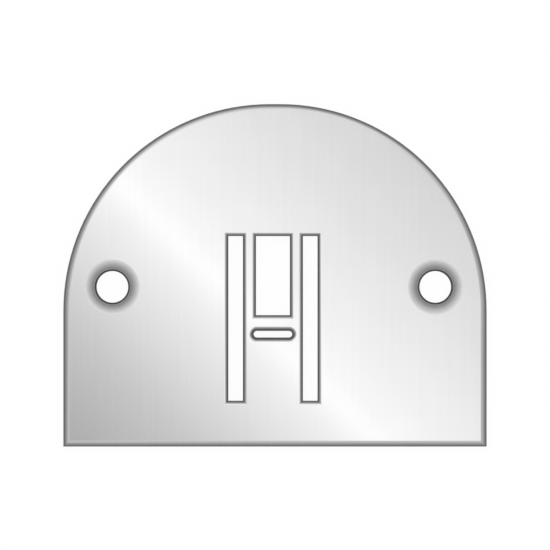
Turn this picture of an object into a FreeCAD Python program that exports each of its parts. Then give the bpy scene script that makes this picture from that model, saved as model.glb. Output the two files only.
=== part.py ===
import FreeCAD, Part
import math
import os
import Sketcher
from FreeCAD import Vector

# Needle plate of a zigzag sewing machine: one flat piece of polished steel with a straight
# front edge, straight sides and a round rear. It has two countersunk screw holes, two long
# slots and a shorter middle slot for the rows of the feed dog, and a round-ended slot for
# the needle. X runs to the right of the person who sews, Y to the rear and Z up through the
# plate. The origin is on the underside, midway between the two screw holes.

doc = FreeCAD.newDocument("NeedlePlate")
sheet = doc.addObject("Spreadsheet::Sheet", "Sizes")


# One row of the sheet: what it is called, its value in millimetres or degrees, what it means
def size(name, value, meaning):
    row = size.row = getattr(size, "row", 0) + 1
    sheet.set(f"A{row}", name)
    sheet.set(f"B{row}", str(value))
    sheet.set(f"C{row}", meaning)
    sheet.setAlias(f"B{row}", name)
    return value


# Outline, measured from the line through both screw holes
plate_width = size("plate_width", 55.0, "side to side")
plate_thickness = size("plate_thickness", 2.0, "underside to sewing face")
front_reach = size("front_reach", 20.75, "screw line to the front edge")
rear_reach = size("rear_reach", 23.75, "screw line to the rear of the crown")
crown_flat = size("crown_flat", 1.4, "short straight at the rear, between the round shoulders")
rim_run = size("rim_run", 0.46, "bevel along the outline, seen from above")
rim_drop = size("rim_drop", 0.36, "height of that bevel")
rim_roll = size("rim_roll", 1.0, "radius that blends it into the sewing face")
underside_break = size("underside_break", 0.15, "small chamfer around the underside")

# Screw holes
left_inset = size("left_inset", 6.35, "left side to the middle of the left screw hole")
right_inset = size("right_inset", 6.65, "right side to the middle of the right screw hole")
screw_bore = size("screw_bore", 4.1, "diameter of each bore")
sink_ring = size("sink_ring", 0.92, "cone around the bore, seen from above")
sink_angle = size("sink_angle", 90.0, "included angle of the cone")
sink_roll = size("sink_roll", 1.5, "radius that blends the cone into the sewing face")
sink_foot = size("sink_foot", 0.8, "radius where the cone runs into the bore")

# Needle slot
needle_offset = size("needle_offset", 0.12, "needle line to the left of the middle between the screws")
needle_row = size("needle_row", 6.15, "screw line to the middle of the needle slot, in front of it")
needle_sweep = size("needle_sweep", 5.0, "length of the slot over its round ends")
needle_gap = size("needle_gap", 0.86, "front to rear")
needle_run = size("needle_run", 0.4, "bevel around the needle slot, seen from above")
needle_drop = size("needle_drop", 0.4, "height of that bevel")
needle_roll = size("needle_roll", 0.5, "radius that blends it into the sewing face")
needle_foot = size("needle_foot", 0.2, "radius around the slot on the underside")

# Slots of the feed dog
feed_rear = size("feed_rear", 6.6, "screw line to the rear ends of all three slots")
feed_length = size("feed_length", 21.4, "front to rear, each long slot")
feed_width = size("feed_width", 1.9, "side to side, each long slot")
feed_bridge = size("feed_bridge", 1.4, "metal between the needle slot and a long slot")
middle_width = size("middle_width", 4.4, "side to side, middle slot")
middle_bridge = size("middle_bridge", 2.05, "metal between the needle slot and the middle slot")
slot_run = size("slot_run", 0.3, "bevel around the three slots, seen from above")
slot_drop = size("slot_drop", 0.3, "height of that bevel")
slot_roll = size("slot_roll", 0.5, "radius that blends it into the sewing face")
doc.recompute()

plate = doc.addObject("PartDesign::Body", "needle_plate")
plate.Label = "needle_plate"

# Points of a sketch element and the sketch's own axes, in the order that constraints count them
POINTS = ("edge", "start", "end", "middle")
AXES = ("level", "upright")
ORIGIN = ("level", "start")


# A sketch parallel to the underside, at a height above it
def flat_sketch(name, height):
    sketch = plate.newObject("Sketcher::SketchObject", name)
    underside = [feature for feature in plate.Origin.OriginFeatures if feature.Role == "XY_Plane"]
    sketch.AttachmentSupport = (underside[0], [""])
    sketch.MapMode = "FlatFace"
    sketch.setExpression("AttachmentOffset.Base.z", height)
    return sketch


def line(sketch, x1, y1, x2, y2):
    return sketch.addGeometry(Part.LineSegment(Vector(x1, y1), Vector(x2, y2)), False)


def arc(sketch, x, y, radius, first, last):
    circle = Part.Circle(Vector(x, y), Vector(0, 0, 1), radius)
    span = math.radians(first), math.radians(last)
    return sketch.addGeometry(Part.ArcOfCircle(circle, *span), False)


def reference(item):
    if item in POINTS:
        return POINTS.index(item)
    return -1 - AXES.index(item) if item in AXES else item


def tie(sketch, kind, *where):
    return sketch.addConstraint(Sketcher.Constraint(kind, *map(reference, where)))


# A dimension of a sketch that follows the sheet
def measure(sketch, name, formula, kind, *where):
    sketch.renameConstraint(tie(sketch, kind, *where), name)
    sketch.setExpression(f"Constraints.{name}", formula)


# Outline: each shoulder is a quarter circle, tangent to its side and to the crown
outline = flat_sketch("Outline", "0")
screw_reach = (plate_width - left_inset - right_inset) / 2
radius = (plate_width - crown_flat) / 2
side_end = rear_reach - radius
left, right = -screw_reach - left_inset, screw_reach + right_inset
front_edge = line(outline, left, -front_reach, right, -front_reach)
right_side = line(outline, right, -front_reach, right, side_end)
right_shoulder = arc(outline, right - radius, side_end, radius, 0, 90)
crown = line(outline, right - radius, rear_reach, left + radius, rear_reach)
left_shoulder = arc(outline, left + radius, side_end, radius, 90, 180)
left_side = line(outline, left, side_end, left, -front_reach)
tie(outline, "Vertical", right_side)
tie(outline, "Vertical", left_side)
tie(outline, "Coincident", front_edge, "end", right_side, "start")
tie(outline, "Tangent", right_side, "end", right_shoulder, "start")
tie(outline, "Tangent", right_shoulder, "end", crown, "start")
tie(outline, "Tangent", crown, "end", left_shoulder, "start")
tie(outline, "Tangent", left_shoulder, "end", left_side, "start")
tie(outline, "Coincident", left_side, "end", front_edge, "start")
tie(outline, "Equal", left_shoulder, right_shoulder)
measure(outline, "width", "Sizes.plate_width",
        "DistanceX", front_edge, "start", front_edge, "end", plate_width)
measure(outline, "left", "Sizes.plate_width / 2 + (Sizes.left_inset - Sizes.right_inset) / 2",
        "DistanceX", front_edge, "start", *ORIGIN, -left)
measure(outline, "flat", "Sizes.crown_flat",
        "DistanceX", crown, "end", crown, "start", crown_flat)
measure(outline, "front", "Sizes.front_reach",
        "DistanceY", front_edge, "start", *ORIGIN, front_reach)
measure(outline, "rear", "Sizes.rear_reach",
        "DistanceY", *ORIGIN, crown, "start", rear_reach)

blank = plate.newObject("PartDesign::Pad", "Blank")
blank.Profile = outline
blank.setExpression("Length", "Sizes.plate_thickness")
doc.recompute()

# Screw holes, drilled through and countersunk from the sewing face
screws = flat_sketch("Screws", "Sizes.plate_thickness")
bores = []
for side in (-1, 1):
    circle = Part.Circle(Vector(side * screw_reach, 0), Vector(0, 0, 1), screw_bore / 2)
    bores.append(screws.addGeometry(circle, False))
tie(screws, "Symmetric", bores[0], "middle", bores[1], "middle", *ORIGIN)
tie(screws, "PointOnObject", bores[0], "middle", "level")
tie(screws, "Equal", bores[0], bores[1])
measure(screws, "bore", "Sizes.screw_bore", "Diameter", bores[0], screw_bore)
measure(screws, "spacing", "Sizes.plate_width - Sizes.left_inset - Sizes.right_inset",
        "DistanceX", bores[0], "middle", bores[1], "middle", 2 * screw_reach)
doc.recompute()

holes = plate.newObject("PartDesign::Hole", "ScrewHoles")
holes.Profile = screws
holes.ThreadType = "None"
holes.DepthType = "ThroughAll"
holes.HoleCutType = "Countersink"
holes.HoleCutCustomValues = True
holes.setExpression("Diameter", "Sizes.screw_bore")
holes.setExpression("HoleCutDiameter", "Sizes.screw_bore + 2 * Sizes.sink_ring")
holes.setExpression("HoleCutCountersinkAngle", "Sizes.sink_angle")
doc.recompute()


# A rectangle with its corners in order, started at the front left one
def rectangle(sketch, left, near, width, length):
    sides = [
        line(sketch, left, near, left + width, near),
        line(sketch, left + width, near, left + width, near + length),
        line(sketch, left + width, near + length, left, near + length),
        line(sketch, left, near + length, left, near),
    ]
    for side, following in zip(sides, sides[1:] + sides[:1]):
        tie(sketch, "Coincident", side, "end", following, "start")
    for side, direction in zip(sides, ("Horizontal", "Vertical", "Horizontal", "Vertical")):
        tie(sketch, direction, side)
    return sides


# Needle slot: two straight edges and two half-round ends
needle = flat_sketch("NeedleSlot", "Sizes.plate_thickness")
end_radius = needle_gap / 2
reach = needle_sweep / 2 - end_radius
left_centre, right_centre = -needle_offset - reach, -needle_offset + reach
near_edge = line(needle, left_centre, -needle_row - end_radius,
                 right_centre, -needle_row - end_radius)
right_end = arc(needle, right_centre, -needle_row, end_radius, -90, 90)
far_edge = line(needle, right_centre, -needle_row + end_radius,
                left_centre, -needle_row + end_radius)
left_end = arc(needle, left_centre, -needle_row, end_radius, 90, 270)
tie(needle, "Horizontal", near_edge)
tie(needle, "Tangent", near_edge, "end", right_end, "start")
tie(needle, "Tangent", right_end, "end", far_edge, "start")
tie(needle, "Tangent", far_edge, "end", left_end, "start")
tie(needle, "Tangent", left_end, "end", near_edge, "start")
tie(needle, "Equal", left_end, right_end)
measure(needle, "end_radius", "Sizes.needle_gap / 2", "Radius", right_end, end_radius)
measure(needle, "straight", "Sizes.needle_sweep - Sizes.needle_gap",
        "DistanceX", left_end, "middle", right_end, "middle", 2 * reach)
measure(needle, "left",
        "Sizes.needle_offset + Sizes.needle_sweep / 2 - Sizes.needle_gap / 2",
        "DistanceX", left_end, "middle", *ORIGIN, needle_offset + reach)
measure(needle, "row", "Sizes.needle_row",
        "DistanceY", left_end, "middle", *ORIGIN, needle_row)

# Slots of the feed dog: their rear ends are in one line. The long ones stand clear of the
# needle slot's ends, and the middle one begins behind it.
slots = flat_sketch("FeedSlots", "Sizes.plate_thickness")
inner = needle_sweep / 2 + feed_bridge
middle_front = -needle_row + end_radius + middle_bridge
left_slot = rectangle(slots, -needle_offset - inner - feed_width, feed_rear - feed_length,
                      feed_width, feed_length)
right_slot = rectangle(slots, -needle_offset + inner, feed_rear - feed_length,
                       feed_width, feed_length)
middle_slot = rectangle(slots, -needle_offset - middle_width / 2, middle_front,
                        middle_width, feed_rear - middle_front)
tie(slots, "Equal", left_slot[0], right_slot[0])
tie(slots, "PointOnObject", right_slot[0], "start", left_slot[0])
tie(slots, "PointOnObject", right_slot[2], "start", left_slot[2])
tie(slots, "PointOnObject", middle_slot[2], "start", left_slot[2])
measure(slots, "rear", "Sizes.feed_rear",
        "DistanceY", *ORIGIN, left_slot[2], "start", feed_rear)
measure(slots, "length", "Sizes.feed_length",
        "DistanceY", left_slot[1], "start", left_slot[1], "end", feed_length)
measure(slots, "width", "Sizes.feed_width",
        "DistanceX", left_slot[0], "start", left_slot[0], "end", feed_width)
measure(slots, "apart", "Sizes.needle_sweep + 2 * Sizes.feed_bridge",
        "DistanceX", left_slot[0], "end", right_slot[0], "start", 2 * inner)
measure(slots, "left", "Sizes.needle_offset + Sizes.needle_sweep / 2 + Sizes.feed_bridge",
        "DistanceX", left_slot[0], "end", *ORIGIN, needle_offset + inner)
measure(slots, "middle_left", "Sizes.needle_offset + Sizes.middle_width / 2",
        "DistanceX", middle_slot[0], "start", *ORIGIN, needle_offset + middle_width / 2)
measure(slots, "middle_width", "Sizes.middle_width",
        "DistanceX", middle_slot[0], "start", middle_slot[0], "end", middle_width)
measure(slots, "middle_front",
        "Sizes.needle_row - Sizes.needle_gap / 2 - Sizes.middle_bridge",
        "DistanceY", middle_slot[0], "start", *ORIGIN, -middle_front)
doc.recompute()


# A cut from the sewing face through the whole plate
def cut_through(name, sketch):
    before = plate.Shape.Volume
    pocket = plate.newObject("PartDesign::Pocket", name)
    pocket.Profile = sketch
    pocket.Type = "ThroughAll"
    doc.recompute()
    if pocket.Shape.Volume > before - 1e-6:
        raise RuntimeError(f"{name} removes nothing")
    return pocket


cut_through("FeedSlotCuts", slots)
cut_through("NeedleSlotCut", needle)


# The flat face at a height, with its edge loops sorted by what they go round
def loops(shape, height):
    flats = [face for face in shape.Faces if isinstance(face.Surface, Part.Plane)
             and face.BoundBox.ZLength < 1e-6 and abs(face.BoundBox.ZMin - height) < 1e-6]
    face = max(flats, key=lambda flat: flat.Area)
    found = {"outline": [], "screws": [], "needle": [], "slots": []}
    for wire in face.Wires:
        centre = wire.BoundBox.Center
        if wire.isSame(face.OuterWire):
            found["outline"].append(wire)
        elif abs(centre.y) < 1e-3 and abs(abs(centre.x) - screw_reach) < 1e-3:
            found["screws"].append(wire)
        elif abs(centre.y + needle_row) < 1e-3:
            found["needle"].append(wire)
        else:
            found["slots"].append(wire)
    return found


def edge_names(shape, wires):
    wanted = [edge for wire in wires for edge in wire.Edges]
    return [f"Edge{number}" for number, edge in enumerate(shape.Edges, start=1)
            if any(edge.isSame(other) for other in wanted)]


# A bevel of the sewing face's edge, run wide and drop high, along one kind of loop
def bevel(name, kind, run, drop):
    base = plate.Tip
    old_wires = loops(base.Shape, plate_thickness)[kind]
    feature = plate.newObject("PartDesign::Chamfer", name)
    feature.Base = (base, edge_names(base.Shape, old_wires))
    feature.ChamferType = "Two distances"
    feature.setExpression("Size", f"Sizes.{run}")
    feature.setExpression("Size2", f"Sizes.{drop}")
    wide = 2 * sheet.get(run)
    for flipped in (True, False):
        feature.FlipDirection = flipped
        doc.recompute()
        new_wires = loops(feature.Shape, plate_thickness)[kind]
        change = new_wires[0].BoundBox.XLength - old_wires[0].BoundBox.XLength
        if abs(abs(change) - wide) < 1e-4:
            return
    raise RuntimeError(f"{name} has the wrong width")


# A round on the edges of the flat face at a height, along one kind of loop
def rounded(name, kind, height, formula):
    base = plate.Tip
    feature = plate.newObject("PartDesign::Fillet", name)
    feature.Base = (base, edge_names(base.Shape, loops(base.Shape, height)[kind]))
    feature.setExpression("Radius", formula)
    doc.recompute()


# Rolled edges of the sewing face
bevel("RimBevel", "outline", "rim_run", "rim_drop")
rounded("RimRoll", "outline", plate_thickness, "Sizes.rim_roll")
bevel("SlotBevel", "slots", "slot_run", "slot_drop")
rounded("SlotRoll", "slots", plate_thickness, "Sizes.slot_roll")
bevel("NeedleBevel", "needle", "needle_run", "needle_drop")
rounded("NeedleRoll", "needle", plate_thickness, "Sizes.needle_roll")
rounded("SinkRoll", "screws", plate_thickness, "Sizes.sink_roll")

# Where each cone runs into its bore
feet = [f"Edge{number}" for number, edge in enumerate(plate.Tip.Shape.Edges, start=1)
        if isinstance(edge.Curve, Part.Circle) and edge.BoundBox.ZLength < 1e-6
        and abs(edge.Curve.Radius - screw_bore / 2) < 1e-6 and edge.BoundBox.ZMin > 1e-3]
base = plate.Tip
foot_round = plate.newObject("PartDesign::Fillet", "SinkFoot")
foot_round.Base = (base, feet)
foot_round.setExpression("Radius", "Sizes.sink_foot")
doc.recompute()

# Underside: flat, with its edges broken, and smooth where the thread passes the needle slot
rounded("NeedleFoot", "needle", 0, "Sizes.needle_foot")
base = plate.Tip
under = loops(base.Shape, 0)
under_break = plate.newObject("PartDesign::Chamfer", "UndersideBreak")
under_break.Base = (base, edge_names(base.Shape, under["outline"] + under["slots"] + under["screws"]))
under_break.setExpression("Size", "Sizes.underside_break")
doc.recompute()

# Every object of the document must be sound before the plate is written
for item in doc.Objects:
    if "Invalid" in item.State or "Error" in item.State:
        raise RuntimeError(f"{item.Name} failed: {item.State}")
shape = plate.Shape
if shape.isNull() or not shape.isValid() or len(shape.Solids) != 1:
    raise RuntimeError("the plate isn't one sound solid")
box = shape.optimalBoundingBox(False)
print(f"{plate.Label}: {box.XLength:.3f} x {box.YLength:.3f} x {box.ZLength:.3f} mm, "
      f"volume {shape.Volume:.1f} cubic mm, {len(shape.Faces)} faces")
os.makedirs("parts", exist_ok=True)
shape.exportStep(f"parts/{plate.Label}.step")
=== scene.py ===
import math

import bmesh
import bpy
from bpy.props import FloatProperty, FloatVectorProperty, PointerProperty
from bpy.types import Operator, Panel, PropertyGroup
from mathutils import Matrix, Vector


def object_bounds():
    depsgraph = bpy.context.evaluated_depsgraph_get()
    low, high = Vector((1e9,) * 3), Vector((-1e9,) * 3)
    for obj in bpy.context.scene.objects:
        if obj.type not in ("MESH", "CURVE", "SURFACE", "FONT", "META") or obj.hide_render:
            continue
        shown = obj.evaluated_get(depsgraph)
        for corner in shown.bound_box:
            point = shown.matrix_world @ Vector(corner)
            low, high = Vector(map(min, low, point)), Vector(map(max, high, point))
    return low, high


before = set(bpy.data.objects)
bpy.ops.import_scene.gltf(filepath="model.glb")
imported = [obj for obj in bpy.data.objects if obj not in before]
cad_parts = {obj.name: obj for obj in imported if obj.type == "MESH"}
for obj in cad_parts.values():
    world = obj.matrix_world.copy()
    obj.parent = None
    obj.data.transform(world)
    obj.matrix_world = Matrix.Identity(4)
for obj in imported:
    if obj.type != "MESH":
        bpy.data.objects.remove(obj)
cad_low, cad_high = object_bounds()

bl_info = {
    "name": "Sewing machine needle plate",
    "version": (1, 0, 0),
    "blender": (4, 5, 0),
    "location": "View3D > Sidebar > Needle plate",
    "description": "Polished steel needle plate, seen from above on a white table",
    "category": "Object",
}

PLATE = "needle_plate"
MM = 0.001

# Openings, as the CAD has them: how far the screws are from the origin, the radius of their
# countersinks, and half the width and length of a box round the origin that holds all the
# slots and none of the outline
SCREW_REACH = 21.0 * MM
SINK_EDGE = 3.62 * MM
SLOTS_ASIDE, SLOTS_ALONG = 12 * MM, 17 * MM

# Rolled edges, as the CAD has them: radius of the roll, and slope of the bevel outside it. The
# roll of the outline begins RIM_START inside it. CROWN_HALF is half the straight at the rear.
RIM_ROLL, RIM_SLOPE = 1.0 * MM, math.atan2(0.36, 0.46)
RIM_START = 0.46 * MM + RIM_ROLL * math.tan(RIM_SLOPE / 2)
CROWN_HALF = 0.7 * MM
SLOT_ROLL, SINK_ROLL, OPENING_SLOPE = 0.5 * MM, 1.5 * MM, math.radians(45)

# A depth that still counts as the flat of the face, and a lean past a bevel that is a wall
FLAT_DEPTH = 0.0005 * MM
PAST_BEVEL = math.radians(0.5)

# Marks of the work: how many to a metre, their stretch along X, Y and Z, their turn in
# degrees, and their detail. They are at most RELIEF deep.
POLISHING = 3200.0, (1.0, 0.02, 0.1), 4.0, 2.0
STRAY_LINES = 1500.0, (0.03, 1.0, 0.1), -27.0, 2.0
SMEARS = 130.0, (1.0, 1.0, 1.0), 0.0, 3.0
SHEARING = 2600.0, (1.0, 1.0, 0.06), 0.0, 3.0
GRINDING = 5200.0, (0.012, 1.0, 1.0), 2.0, 4.0
TURNED_RINGS = 9000.0
RELIEF = 0.003 * MM

# Leans in degrees between which the marks of the walls and of the underside take over
WALL_LEANS = 50, 75
UNDERSIDE_LEANS = 150, 170

# The table is TABLE_DROP under the plate, so that the two faces don't fight
TABLE_DROP = 0.05 * MM

# Light dome: level of its wall by height, from the table to the top, and what is added to it
# at the rear and at the front
DOME_WALL = (0.0, 0.30), (0.12, 0.42), (0.34, 0.74), (0.48, 0.70), (0.7, 0.60), (1.0, 0.64)
REAR_LIGHT, FRONT_LIGHT = 0.42, 0.10
DOME_SEGMENTS, DOME_RINGS = 64, 32

# Light card: level by place across its bright line, which is X plus Y on the face, in mm
CARD_LEVELS = (
    (-53, 0.415), (-32, 0.70), (-11.3, 1.095), (-6.5, 1.27), (-4, 1.17), (3.3, 1.092),
    (22, 0.925), (44, 0.755),
)
CARD_HALF = 62 * MM

# Faint streaks beside the bright line: place of one across the card, distance between them,
# strength, and the places between which they set in
STREAK, STREAK_STEP, STREAK_GAIN = 7.6 * MM, 8.65 * MM, 0.015
STREAKS_FROM, STREAKS_FULL = -4 * MM, -2 * MM

# Beyond each side of the plate: the places on the face, in mm, between which another level
# sets in, and that level. The two at the left and right are gone at the first of
# SIDE_MARGINS_ALONG on the card and whole at the second.
SIDE_MARGINS = (-27.6, -31.0, 0.74), (27.5, 32.0, 0.62)
END_MARGINS = (-21.5, -25.0, 0.72), (26.0, 34.0, 1.0)
SIDE_MARGINS_ALONG = 14, -2

# Where the card fades out into the dome, in mm: gone at the first place, whole at the second
CARD_FADES_X = (-58, -44), (52, 36)
CARD_FADES_Y = (-54, -40), (60, 44)

LAMP_PLACE, LAMP_POWER, LAMP_SIZE = (-0.4, 0.4, 0.8), 1.5, 0.4

# Width of the camera's sensor in millimetres, and how far the photo's middle is behind the
# plate's
SENSOR = 36.0
VIEW_BEHIND = 0.045 * MM


# What a user would change about the steel

class PlateSteel(PropertyGroup):
    """Tones of the plate's steel, painted shade on its rolled edges and walls, and its polish"""

    face_tone: FloatProperty(
        name="Face", description="How light the polished sewing face is",
        default=0.80, min=0.0, max=1.0)
    # Painted shade: how dark the steepest part of the rolled edges is painted
    rim_painted_shade: FloatProperty(
        name="Rolled edges", description="How light the steepest part of the rolled edges is",
        default=0.25, min=0.0, max=1.0)
    # Painted shade: how dark the sides of the plate, the slots and the holes are painted
    wall_painted_shade: FloatProperty(
        name="Walls", description="How light the sides of the plate, the slots and the holes are",
        default=0.36, min=0.0, max=1.0)
    underside_tone: FloatProperty(
        name="Underside", description="How light the ground underside is",
        default=0.55, min=0.0, max=1.0)
    face_roughness: FloatProperty(
        name="Face polish", description="Roughness of the sewing face",
        default=0.10, min=0.0, max=1.0)
    wall_roughness: FloatProperty(
        name="Wall polish", description="Roughness of the walls",
        default=0.42, min=0.0, max=1.0)


# What a user would change about the table, the light and the camera

class PlateStudio(PropertyGroup):
    """Table, light and camera around the plate"""

    table_size: FloatProperty(
        name="Table", description="Side of the table top", default=8.0, unit="LENGTH")
    table_colour: FloatVectorProperty(
        name="Table colour", description="Colour of the table top",
        default=(0.95, 0.95, 0.95), subtype="COLOR", min=0.0, max=1.0)
    table_shadow: FloatProperty(
        name="Shadow", description="Share of the real shading kept on the white table",
        default=0.05, min=0.0, max=1.0, subtype="FACTOR")
    lens: FloatProperty(
        name="Lens", description="Focal length on a 36 mm wide sensor, in millimetres",
        default=400.0, min=20.0)
    view_width: FloatProperty(
        name="View", description="Width of the view at the sewing face",
        default=71.43 * MM, unit="LENGTH")
    card_height: FloatProperty(
        name="Card height", description="Height of the light card over the sewing face",
        default=60 * MM, unit="LENGTH")
    dome_radius: FloatProperty(
        name="Light dome", description="Radius of the shaded dome that the steel reflects",
        default=0.12, unit="LENGTH")


def steel():
    return bpy.context.scene.plate_steel


def studio():
    return bpy.context.scene.plate_studio


# Node trees

class Tree:
    """Short forms for making nodes in one tree"""

    def __init__(self, tree):
        self.nodes, self.links = tree.nodes, tree.links

    def node(self, kind, **settings):
        made = self.nodes.new(kind)
        for name, value in settings.items():
            setattr(made, name, value)
        return made

    def feed(self, socket, value):
        if isinstance(value, bpy.types.NodeSocket):
            self.links.new(value, socket)
        else:
            socket.default_value = value

    def math(self, operation, *values, clamp=False):
        made = self.node("ShaderNodeMath", operation=operation, use_clamp=clamp)
        for socket, value in zip(made.inputs, values):
            self.feed(socket, value)
        return made.outputs[0]

    def ramp(self, value, stops):
        """A grey that runs through stops, pairs of place and level"""
        made = self.node("ShaderNodeValToRGB")
        points = made.color_ramp.elements
        while len(points) < len(stops):
            points.new(1.0)
        for point, stop in zip(points, stops):
            point.position = stop[0]
        for point, stop in zip(points, stops):
            point.color = (stop[1], stop[1], stop[1], 1.0)
        self.feed(made.inputs[0], value)
        return made.outputs[0]

    def span(self, value, first, last, low=0.0, high=1.0):
        """Runs smoothly from low at first to high at last, and stays level outside"""
        made = self.node("ShaderNodeMapRange", interpolation_type="SMOOTHSTEP")
        for name, number in (("Value", value), ("From Min", first), ("From Max", last),
                             ("To Min", low), ("To Max", high)):
            self.feed(made.inputs[name], number)
        return made.outputs[0]

    def mix(self, share, first, second):
        """From first, at share 0, to second, at share 1"""
        made = self.node("ShaderNodeMix", data_type="FLOAT")
        self.feed(made.inputs["Factor"], share)
        self.feed(made.inputs["A"], first)
        self.feed(made.inputs["B"], second)
        return made.outputs["Result"]

    def noise(self, place, scale, stretch, turn, detail):
        """Soft noise, drawn out along the directions whose stretch is small"""
        turned = self.node("ShaderNodeMapping")
        turned.inputs["Rotation"].default_value = (0.0, 0.0, math.radians(turn))
        turned.inputs["Scale"].default_value = stretch
        self.links.new(place, turned.inputs["Vector"])
        made = self.node("ShaderNodeTexNoise")
        self.links.new(turned.outputs[0], made.inputs["Vector"])
        made.inputs["Scale"].default_value = scale
        made.inputs["Detail"].default_value = detail
        return made.outputs["Fac"]

    def rings(self, radius, scale):
        """Noise that changes with the radius alone"""
        made = self.node("ShaderNodeTexNoise", noise_dimensions="1D")
        self.feed(made.inputs["W"], radius)
        made.inputs["Scale"].default_value = scale
        made.inputs["Detail"].default_value = 1.0
        return made.outputs["Fac"]

    def length(self, x, y):
        """Length of the line from 0 to x, y"""
        squares = [self.math("MULTIPLY", value, value) for value in (x, y)]
        return self.math("SQRT", self.math("ADD", *squares))

    def vector(self, operation, first, second=None):
        made = self.node("ShaderNodeVectorMath", operation=operation)
        self.feed(made.inputs[0], first)
        if second is not None:
            self.feed(made.inputs[1], second)
        return made.outputs[0]

    def scaled(self, vector, scale):
        made = self.node("ShaderNodeVectorMath", operation="SCALE")
        self.links.new(vector, made.inputs[0])
        self.feed(made.inputs["Scale"], scale)
        return made.outputs[0]

    def join(self, x, y, z):
        made = self.node("ShaderNodeCombineXYZ")
        for socket, value in zip(made.inputs, (x, y, z)):
            self.feed(socket, value)
        return made.outputs[0]

    def split(self, vector):
        made = self.node("ShaderNodeSeparateXYZ")
        self.links.new(vector, made.inputs[0])
        return made.outputs["X"], made.outputs["Y"], made.outputs["Z"]


def new_material(name):
    material = bpy.data.materials.new(name)
    material.use_nodes = True
    material.node_tree.nodes.clear()
    return material, Tree(material.node_tree)


# Steel: its tone, painted shade, polish and marks follow how far the surface leans from the
# sewing face

def lean_stops(*stops):
    """Stops given in degrees, as shares of a half turn"""
    return tuple((degrees / 180.0, level) for degrees, level in stops)


def rim_slope(tree, x, y):
    """Lean of the rolled edge of the outline, and the X and Y of the way out there"""
    shoulder = (cad_high.x - cad_low.x) / 2 - CROWN_HALF
    side = tree.math("SUBTRACT", x, (cad_low.x + cad_high.x) / 2)
    aside = tree.math("SUBTRACT", tree.math("ABSOLUTE", side), CROWN_HALF)
    aside = tree.math("MAXIMUM", aside, 0.0)
    behind = tree.math("MAXIMUM", tree.math("SUBTRACT", y, cad_high.y - shoulder), 0.0)
    from_shoulder = tree.math("SUBTRACT", shoulder, tree.length(aside, behind))
    from_front = tree.math("SUBTRACT", y, cad_low.y)
    inside = tree.math("MINIMUM", from_shoulder, from_front)
    rim = tree.math("DIVIDE", tree.math("SUBTRACT", RIM_START, inside), RIM_ROLL, clamp=True)
    rim = tree.math("MINIMUM", tree.math("ARCSINE", rim), RIM_SLOPE)
    at_front = tree.math("LESS_THAN", from_front, from_shoulder)
    out_x = tree.mix(at_front, tree.math("MULTIPLY", tree.math("SIGN", side), aside), 0.0)
    out_y = tree.mix(at_front, behind, -1.0)
    return rim, out_x, out_y


def opening_slope(tree, z, in_sink):
    """Lean of the rolled edges of the openings, by the depth under the face"""
    roll = tree.mix(in_sink, SLOT_ROLL, SINK_ROLL)
    depth = tree.math("SUBTRACT", cad_high.z - FLAT_DEPTH, z)
    depth = tree.math("MAXIMUM", depth, 0.0)
    rolled = tree.math("SUBTRACT", 1.0, tree.math("DIVIDE", depth, roll), clamp=True)
    return tree.math("MINIMUM", tree.math("ARCCOSINE", rolled), OPENING_SLOPE)


def surface_slope(tree, place, in_sink, in_slots):
    """Lean as a share of a half turn, and the direction that the surface faces. On the rolled
    edges both come from the place, and on walls and underside from the mesh."""
    x, y, z = tree.split(place.outputs["Object"])
    mesh_x, mesh_y, mesh_z = tree.split(place.outputs["Normal"])
    mesh_lean = tree.math("ARCCOSINE", mesh_z)
    rim, out_x, out_y = rim_slope(tree, x, y)
    in_opening = tree.math("MAXIMUM", in_sink, in_slots)
    rolled = tree.mix(in_opening, rim, opening_slope(tree, z, in_sink))
    bevel = tree.mix(in_opening, RIM_SLOPE, OPENING_SLOPE)
    steep = tree.math("GREATER_THAN", mesh_lean, tree.math("ADD", bevel, PAST_BEVEL))
    angle = tree.mix(steep, rolled, mesh_lean)
    by_mesh = tree.math("MAXIMUM", in_opening, steep)
    outward = tree.join(tree.mix(by_mesh, out_x, mesh_x), tree.mix(by_mesh, out_y, mesh_y), 0.0)
    outward = tree.scaled(tree.vector("NORMALIZE", outward), tree.math("SINE", angle))
    normal = tree.vector("ADD", outward, tree.join(0.0, 0.0, tree.math("COSINE", angle)))
    facing = tree.node("ShaderNodeVectorTransform", vector_type="NORMAL",
                       convert_from="OBJECT", convert_to="WORLD")
    tree.links.new(normal, facing.inputs[0])
    return tree.math("DIVIDE", angle, math.pi), facing.outputs[0]


def steel_tone_and_painted_shade(tree, lean, in_sink):
    """Light on the face, with painted shade darker down the rolled edges, on the walls and
    towards the bores
    """
    look = steel()
    # Painted shade down the rolled edges and on the walls
    rims_painted_shade = tree.ramp(lean, lean_stops(
        (0, look.face_tone), (5, 0.76), (13, 0.65), (20.5, 0.49), (29, 0.345),
        (38, look.rim_painted_shade), (43, 0.27), (50, 0.28), (62, 0.34), (80, look.wall_painted_shade),
        (100, look.wall_painted_shade), (170, look.underside_tone)))
    # Painted shade in the countersinks, darkest on the bore walls
    sinks_painted_shade = tree.ramp(lean, lean_stops(
        (0, look.face_tone), (8, 0.775), (18, 0.67), (30, 0.565), (41, 0.495), (45, 0.45),
        (50, 0.11), (60, 0.06), (72, 0.09), (85, look.wall_painted_shade), (100, look.wall_painted_shade),
        (170, look.underside_tone)))
    return tree.mix(in_sink, rims_painted_shade, sinks_painted_shade)


def steel_roughness(tree, lean, in_sink):
    """Polished on the face, duller down the edges, satin in the countersinks"""
    look = steel()
    polish = tree.ramp(lean, lean_stops(
        (0, look.face_roughness), (3, look.face_roughness), (13, 0.2), (38, 0.3),
        (60, look.wall_roughness), (170, look.wall_roughness)))
    satin = tree.ramp(lean, lean_stops(
        (0, look.face_roughness), (3, 0.40), (10, 0.62), (45, 0.62), (90, 0.5), (170, 0.45)))
    return tree.mix(in_sink, polish, satin)


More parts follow.
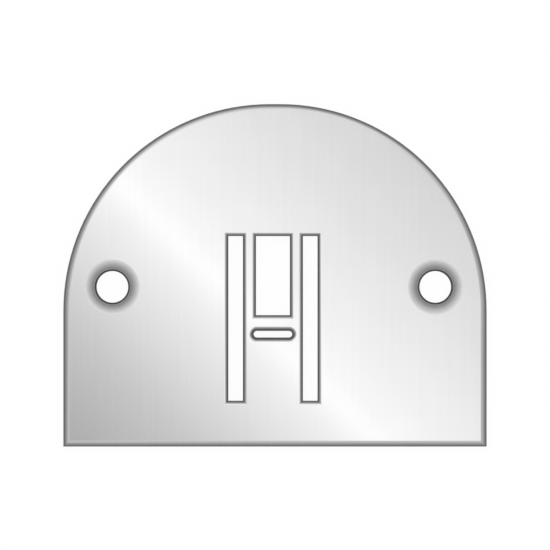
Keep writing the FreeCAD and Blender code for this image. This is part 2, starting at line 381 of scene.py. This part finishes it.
def work_marks(tree, spot, lean, in_sink, from_screw):
    """Polishing lines and faint smears on the face, turned rings in the countersinks, shear
    lines down the walls, and straight grinding lines on the underside"""
    face = 0.0
    for kind, share in ((POLISHING, 0.45), (STRAY_LINES, 0.2), (SMEARS, 0.35)):
        face = tree.math("ADD", face, tree.math("MULTIPLY", tree.noise(spot, *kind), share))
    marks = tree.mix(in_sink, face, tree.rings(from_screw, TURNED_RINGS))
    for kind, (first, last) in ((SHEARING, WALL_LEANS), (GRINDING, UNDERSIDE_LEANS)):
        there = tree.span(lean, first / 180, last / 180)
        marks = tree.mix(there, marks, tree.noise(spot, *kind))
    strength = tree.ramp(lean, lean_stops(
        (0, 0.09), (10, 0.10), (40, 0.14), (75, 0.6), (110, 0.6), (170, 0.8)))
    return tree.math("MULTIPLY", tree.math("SUBTRACT", marks, 0.5), strength)


def plate_material():
    """Steel, polished on the face, satin in the countersinks, ground on the underside, with
    painted shade down the rolled edges, on the walls and in the countersinks
    """
    material, tree = new_material("polished_steel")
    place = tree.node("ShaderNodeTexCoord")
    spot = place.outputs["Object"]
    x, y = tree.split(spot)[:2]
    from_side = tree.math("ABSOLUTE", x)
    from_screw = tree.length(tree.math("SUBTRACT", from_side, SCREW_REACH), y)
    in_sink = tree.math("LESS_THAN", from_screw, SINK_EDGE)
    in_slots = tree.math("MULTIPLY", tree.math("LESS_THAN", from_side, SLOTS_ASIDE),
                         tree.math("LESS_THAN", tree.math("ABSOLUTE", y), SLOTS_ALONG))
    lean, facing = surface_slope(tree, place, in_sink, in_slots)
    # The tone holds painted shade down the rolled edges, on the walls and in the countersinks
    tone = steel_tone_and_painted_shade(tree, lean, in_sink)
    rough = steel_roughness(tree, lean, in_sink)
    marks = work_marks(tree, spot, lean, in_sink, from_screw)
    tone = tree.math("MULTIPLY", tone, tree.math("ADD", marks, 1.0))
    rough = tree.math("ADD", rough, tree.math("MULTIPLY", marks, 0.5))
    relief = tree.node("ShaderNodeBump")
    relief.inputs["Distance"].default_value = RELIEF
    tree.links.new(marks, relief.inputs["Height"])
    tree.links.new(facing, relief.inputs["Normal"])
    shader = tree.node("ShaderNodeBsdfPrincipled")
    shader.inputs["Metallic"].default_value = 1.0
    tree.links.new(tone, shader.inputs["Base Color"])
    tree.links.new(rough, shader.inputs["Roughness"])
    tree.links.new(relief.outputs[0], shader.inputs["Normal"])
    output = tree.node("ShaderNodeOutputMaterial")
    tree.links.new(shader.outputs[0], output.inputs["Surface"])
    return material


class NEEDLEPLATE_OT_plate(Operator):
    """Give the plate its polished steel"""

    bl_idname = "needleplate.plate"
    bl_label = "Finish the plate"

    def execute(self, context):
        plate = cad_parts.get(PLATE)
        if plate is None or not plate.material_slots:
            raise RuntimeError("the frame has no needle plate to finish")
        finish = plate_material()
        for slot in plate.material_slots:
            slot.material = finish
        return {"FINISHED"}


# Table: white to the camera and in reflections, with a share of real shading

def table_material():
    look = studio()
    material, tree = new_material("white_table")
    paint = tree.node("ShaderNodeBsdfPrincipled")
    paint.inputs["Base Color"].default_value = (*look.table_colour, 1.0)
    paint.inputs["Roughness"].default_value = 0.8
    paint.inputs["Specular IOR Level"].default_value = 0.0
    glow = tree.node("ShaderNodeEmission")
    path = tree.node("ShaderNodeLightPath")
    seen = tree.math("MAXIMUM", path.outputs["Is Camera Ray"], path.outputs["Is Glossy Ray"])
    seen = tree.math("MAXIMUM", seen, path.outputs["Is Transmission Ray"])
    share = tree.math("MULTIPLY", seen, 1.0 - look.table_shadow)
    top = tree.node("ShaderNodeMixShader")
    tree.links.new(share, top.inputs[0])
    tree.links.new(paint.outputs[0], top.inputs[1])
    tree.links.new(glow.outputs[0], top.inputs[2])
    # From below the table is clear, so that the plate's underside can be looked at
    side = tree.node("ShaderNodeNewGeometry")
    clear = tree.node("ShaderNodeBsdfTransparent")
    both = tree.node("ShaderNodeMixShader")
    output = tree.node("ShaderNodeOutputMaterial")
    tree.links.new(side.outputs["Backfacing"], both.inputs[0])
    tree.links.new(top.outputs[0], both.inputs[1])
    tree.links.new(clear.outputs[0], both.inputs[2])
    tree.links.new(both.outputs[0], output.inputs["Surface"])
    return material


def staged(name, mesh, material, place=(0, 0, 0)):
    thing = bpy.data.objects.new(name, mesh)
    bpy.context.scene.collection.objects.link(thing)
    thing.location = place
    mesh.materials.append(material)
    return thing


def square(name, half):
    mesh = bpy.data.meshes.new(name)
    corners = [(-half, -half, 0), (half, -half, 0), (half, half, 0), (-half, half, 0)]
    mesh.from_pydata(corners, [], [(0, 1, 2, 3)])
    return mesh


def build_table():
    staged("table", square("table", studio().table_size / 2), table_material(),
           (0, 0, -TABLE_DROP))


# Room: plain white light from all sides

def build_room():
    world = bpy.data.worlds.new("room")
    bpy.context.scene.world = world
    world.use_nodes = True
    world.node_tree.nodes.clear()
    tree = Tree(world.node_tree)
    background = tree.node("ShaderNodeBackground")
    background.inputs["Color"].default_value = (1.0, 1.0, 1.0, 1.0)
    output = tree.node("ShaderNodeOutputWorld")
    tree.links.new(background.outputs[0], output.inputs["Surface"])


def only_in_reflections(thing):
    thing.visible_camera = thing.visible_diffuse = thing.visible_transmission = False
    thing.visible_shadow = thing.visible_volume_scatter = False


# Dome: what the steel reflects round about

def dome_material():
    """Light by height, with more to the rear and to the front, placed in parts of the radius"""
    material, tree = new_material("light_dome")
    place = tree.node("ShaderNodeTexCoord")
    y, z = tree.split(tree.scaled(place.outputs["Object"], 1.0 / studio().dome_radius))[1:]
    walls = tree.ramp(z, DOME_WALL)
    rear = tree.math("MULTIPLY", tree.span(y, 0.18, 0.66, 0.0, REAR_LIGHT),
                     tree.span(z, 0.25, 0.75))
    front = tree.span(y, 0.0, -0.5, 0.0, FRONT_LIGHT)
    light = tree.math("ADD", tree.math("ADD", walls, rear), front)
    glow = tree.node("ShaderNodeEmission")
    tree.links.new(light, glow.inputs["Strength"])
    output = tree.node("ShaderNodeOutputMaterial")
    tree.links.new(glow.outputs[0], output.inputs["Surface"])
    return material


def build_dome():
    shape = bmesh.new()
    bmesh.ops.create_uvsphere(shape, u_segments=DOME_SEGMENTS, v_segments=DOME_RINGS,
                              radius=studio().dome_radius)
    low = [vert for vert in shape.verts if vert.co.z < -1e-6]
    bmesh.ops.delete(shape, geom=low, context="VERTS")
    mesh = bpy.data.meshes.new("light_dome")
    shape.to_mesh(mesh)
    shape.free()
    dome = staged("light_dome", mesh, dome_material())
    only_in_reflections(dome)


# Card: a graded light card over the plate, brightest along one diagonal. From the camera, a
# place on the face shows the place on the card that is spread times as far from the middle.

def card_light(tree, x, y, spread):
    across = tree.math("ADD", x, y)
    first, last = CARD_LEVELS[0][0], CARD_LEVELS[-1][0]
    near, far = first * MM * spread, last * MM * spread
    along = tree.math("DIVIDE", tree.math("SUBTRACT", across, near), far - near)
    light = tree.ramp(along, tuple(
        ((at - first) / (last - first), level) for at, level in CARD_LEVELS))
    wave = tree.math("MULTIPLY", tree.math("SUBTRACT", across, STREAK), 2 * math.pi / STREAK_STEP)
    wave = tree.math("MAXIMUM", tree.math("COSINE", wave), 0.0)
    streak = tree.math("MULTIPLY", tree.math("POWER", wave, 2.0),
                       tree.span(across, STREAKS_FROM, STREAKS_FULL, 0.0, STREAK_GAIN))
    light = tree.math("MULTIPLY", light, tree.math("ADD", streak, 1.0))
    gone, whole = SIDE_MARGINS_ALONG
    beside = tree.span(y, gone * MM, whole * MM)
    margins = [(x, *SIDE_MARGINS[0]), (y, *END_MARGINS[0]), (x, *SIDE_MARGINS[1]),
               (y, *END_MARGINS[1])]
    for value, start, end, level in margins:
        side = tree.span(value, start * MM * spread, end * MM * spread)
        if value is x:
            side = tree.math("MULTIPLY", side, beside)
        light = tree.mix(side, light, level)
    return light


def card_material(spread):
    material, tree = new_material("light_card")
    place = tree.node("ShaderNodeTexCoord")
    x, y = tree.split(place.outputs["Object"])[:2]
    solid = 1.0
    for value, fades in ((x, CARD_FADES_X), (y, CARD_FADES_Y)):
        for gone, whole in fades:
            solid = tree.math("MULTIPLY", tree.span(value, gone * MM, whole * MM), solid)
    glow = tree.node("ShaderNodeEmission")
    tree.links.new(card_light(tree, x, y, spread), glow.inputs["Strength"])
    clear = tree.node("ShaderNodeBsdfTransparent")
    mix = tree.node("ShaderNodeMixShader")
    output = tree.node("ShaderNodeOutputMaterial")
    tree.links.new(solid, mix.inputs[0])
    tree.links.new(clear.outputs[0], mix.inputs[1])
    tree.links.new(glow.outputs[0], mix.inputs[2])
    tree.links.new(mix.outputs[0], output.inputs["Surface"])
    return material


def camera_distance():
    return studio().view_width * studio().lens / SENSOR


def build_card():
    height = studio().card_height
    spread = 1.0 + height / camera_distance()
    card = staged("light_card", square("light_card", CARD_HALF), card_material(spread),
                  (0, 0, cad_high.z + height))
    only_in_reflections(card)


def build_lamp():
    """A soft lamp aimed at the origin, which the steel doesn't reflect"""
    data = bpy.data.lights.new("soft_lamp", "AREA")
    data.shape = "DISK"
    data.size = LAMP_SIZE
    data.energy = LAMP_POWER
    lamp = bpy.data.objects.new("soft_lamp", data)
    bpy.context.scene.collection.objects.link(lamp)
    lamp.location = LAMP_PLACE
    lamp.rotation_mode = "QUATERNION"
    lamp.rotation_quaternion = (-Vector(LAMP_PLACE)).to_track_quat("-Z", "Y")
    lamp.visible_glossy = False


def build_camera():
    """Straight above the plate's middle, looking down"""
    data = bpy.data.cameras.new("camera")
    data.sensor_width = SENSOR
    data.lens = studio().lens
    data.clip_start, data.clip_end = 0.01, 20.0
    camera = bpy.data.objects.new("camera", data)
    bpy.context.scene.collection.objects.link(camera)
    middle = (cad_low + cad_high) / 2
    camera.location = (middle.x, middle.y + VIEW_BEHIND, cad_high.z + camera_distance())
    bpy.context.scene.camera = camera


class NEEDLEPLATE_OT_stage(Operator):
    """Lay the table, set the light and place the camera over the plate"""

    bl_idname = "needleplate.stage"
    bl_label = "Set the stage"

    def execute(self, context):
        build_table()
        build_room()
        build_dome()
        build_card()
        build_lamp()
        build_camera()
        context.scene.view_settings.view_transform = "Standard"
        return {"FINISHED"}


class NEEDLEPLATE_PT_panel(Panel):
    """Lists the steps and their settings"""

    bl_label = "Needle plate"
    bl_idname = "NEEDLEPLATE_PT_panel"
    bl_space_type = "VIEW_3D"
    bl_region_type = "UI"
    bl_category = "Needle plate"

    def draw(self, context):
        for title, group, step in (
            ("Plate", steel(), NEEDLEPLATE_OT_plate),
            ("Stage", studio(), NEEDLEPLATE_OT_stage),
        ):
            box = self.layout.box()
            box.label(text=title)
            for name in group.bl_rna.properties.keys():
                if name not in ("rna_type", "name"):
                    box.prop(group, name)
            box.operator(step.bl_idname)


CLASSES = (PlateSteel, PlateStudio, NEEDLEPLATE_OT_plate, NEEDLEPLATE_OT_stage,
           NEEDLEPLATE_PT_panel)


def register():
    for item in CLASSES:
        bpy.utils.register_class(item)
    bpy.types.Scene.plate_steel = PointerProperty(type=PlateSteel)
    bpy.types.Scene.plate_studio = PointerProperty(type=PlateStudio)


def unregister():
    del bpy.types.Scene.plate_studio
    del bpy.types.Scene.plate_steel
    for item in reversed(CLASSES):
        bpy.utils.unregister_class(item)


def main():
    register()
    bpy.ops.needleplate.plate()
    bpy.ops.needleplate.stage()


if __name__ == "__main__":
    main()
